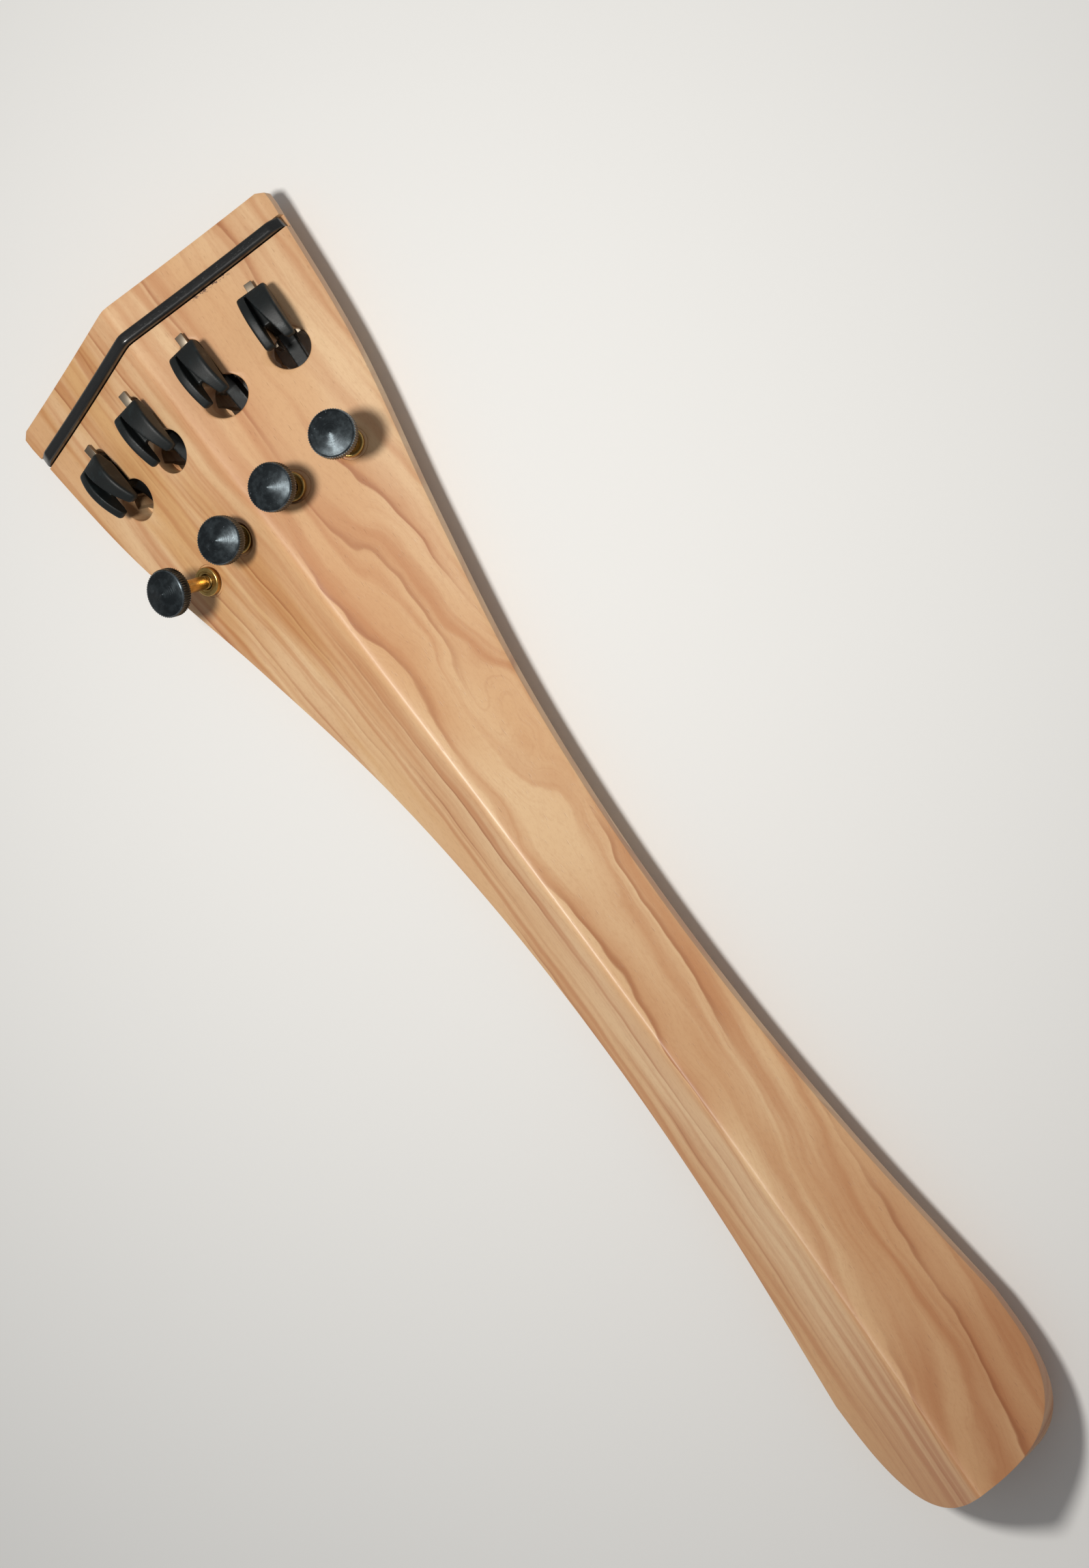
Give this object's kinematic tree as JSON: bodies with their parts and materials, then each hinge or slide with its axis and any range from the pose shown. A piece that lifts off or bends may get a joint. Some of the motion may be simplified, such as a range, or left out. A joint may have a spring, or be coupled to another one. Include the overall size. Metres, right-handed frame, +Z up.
{
  "type": "cello tailpiece with built-in fine tuners",
  "caption": "Gabled hardwood cello tailpiece with a black fret; forked levers worked by knurled screws fine-tune each string.",
  "frame": {"origin": "middle of the flat underside rim, on the plane the tailpiece rests on", "axes": "+Y along the tailpiece to its wide head (the bridge end), +X to the right seen from above with the head up, +Z up out of the gabled top"},
  "size_m": [0.0618, 0.235, 0.024],
  "materials": {
    "olive_wood": "oiled and polished, with wavy reddish-brown streaks along its length",
    "fret_black": "polished ebony, satin to gloss",
    "lever_composite": "moulded fibre composite, matt blue-black",
    "knob_black": "black satin, turned and knurled",
    "brass": "turned, lightly tarnished",
    "steel": "folded sheet and plain pins, dull nickel"
  },
  "bodies": {
    "tailpiece": {"tailpiece_body": "olive_wood", "fret": "fret_black", "tuner_bracket_1": "steel", "bracket_screw_1": "steel", "lever_axle_1": "steel", "screw_bush_1": "brass", "tuner_bracket_2": "steel", "bracket_screw_2": "steel", "lever_axle_2": "steel", "screw_bush_2": "brass", "tuner_bracket_3": "steel", "bracket_screw_3": "steel", "lever_axle_3": "steel", "screw_bush_3": "brass", "tuner_bracket_4": "steel", "bracket_screw_4": "steel", "lever_axle_4": "steel", "screw_bush_4": "brass"},
    "lever_1": {"lever_1": "lever_composite"},
    "screw_1": {"tuning_screw_1": "brass"},
    "knob_1": {"tuning_knob_1": "knob_black"},
    "lever_2": {"lever_2": "lever_composite"},
    "screw_2": {"tuning_screw_2": "brass"},
    "knob_2": {"tuning_knob_2": "knob_black"},
    "lever_3": {"lever_3": "lever_composite"},
    "screw_3": {"tuning_screw_3": "brass"},
    "knob_3": {"tuning_knob_3": "knob_black"},
    "lever_4": {"lever_4": "lever_composite"},
    "screw_4": {"tuning_screw_4": "brass"},
    "knob_4": {"tuning_knob_4": "knob_black"}
  },
  "joints": [
    {"name": "screw_1_travel", "type": "slide", "parent": "tailpiece", "child": "screw_1", "axis": [0.226, 0.0286, -0.9737], "range_m": [-0.002, 0.0082]},
    {"name": "knob_1_turn", "type": "hinge", "parent": "screw_1", "child": "knob_1", "pos_m": [-0.01956, 0.07381, 0.01964], "axis": [0.226, 0.0286, -0.9737], "range_deg": [-1441, 5905]},
    {"name": "lever_1_tilt", "type": "hinge", "parent": "tailpiece", "child": "lever_1", "pos_m": [-0.01832, 0.09784, 0.00564], "axis": [0.9703, 0.0823, 0.2276], "range_deg": [-2.32, 9.45]},
    {"name": "screw_2_travel", "type": "slide", "parent": "tailpiece", "child": "screw_2", "axis": [0.0133, 0.0336, -0.9993], "range_m": [-0.0043, 0.0031]},
    {"name": "knob_2_turn", "type": "hinge", "parent": "screw_2", "child": "knob_2", "pos_m": [-0.00658, 0.07385, 0.01983], "axis": [0.0133, 0.0336, -0.9993], "range_deg": [-3097, 2233]},
    {"name": "lever_2_tilt", "type": "hinge", "parent": "tailpiece", "child": "lever_2", "pos_m": [-0.00692, 0.09788, 0.01033], "axis": [0.9997, 0.0195, 0.014], "range_deg": [-10.41, 7.51]},
    {"name": "screw_3_travel", "type": "slide", "parent": "tailpiece", "child": "screw_3", "axis": [-0.0133, 0.0336, -0.9993], "range_m": [-0.0032, 0.0042]},
    {"name": "knob_3_turn", "type": "hinge", "parent": "screw_3", "child": "knob_3", "pos_m": [0.0066, 0.07381, 0.02093], "axis": [-0.0133, 0.0336, -0.9993], "range_deg": [-2305, 3025]},
    {"name": "lever_3_tilt", "type": "hinge", "parent": "tailpiece", "child": "lever_3", "pos_m": [0.00692, 0.09788, 0.01033], "axis": [0.9997, -0.0195, -0.014], "range_deg": [-7.76, 10.17]},
    {"name": "screw_4_travel", "type": "slide", "parent": "tailpiece", "child": "screw_4", "axis": [-0.226, 0.0286, -0.9737], "range_m": [-0.001, 0.0072]},
    {"name": "knob_4_turn", "type": "hinge", "parent": "screw_4", "child": "knob_4", "pos_m": [0.01934, 0.07384, 0.01867], "axis": [-0.226, 0.0286, -0.9737], "range_deg": [-721, 5185]},
    {"name": "lever_4_tilt", "type": "hinge", "parent": "tailpiece", "child": "lever_4", "pos_m": [0.01832, 0.09784, 0.00564], "axis": [0.9703, -0.0823, -0.2276], "range_deg": [-2.44, 17.43]}
  ],
  "couplings": [
    {"joint": "knob_1_turn", "follows": "screw_1_travel", "rad_per_m": 12566},
    {"joint": "lever_1_tilt", "follows": "screw_1_travel", "rad_per_m": 20.068},
    {"joint": "knob_2_turn", "follows": "screw_2_travel", "rad_per_m": 12566},
    {"joint": "lever_2_tilt", "follows": "screw_2_travel", "rad_per_m": 42.194},
    {"joint": "knob_3_turn", "follows": "screw_3_travel", "rad_per_m": 12566},
    {"joint": "lever_3_tilt", "follows": "screw_3_travel", "rad_per_m": 42.194},
    {"joint": "knob_4_turn", "follows": "screw_4_travel", "rad_per_m": 12566},
    {"joint": "lever_4_tilt", "follows": "screw_4_travel", "rad_per_m": 42.194}
  ]
}
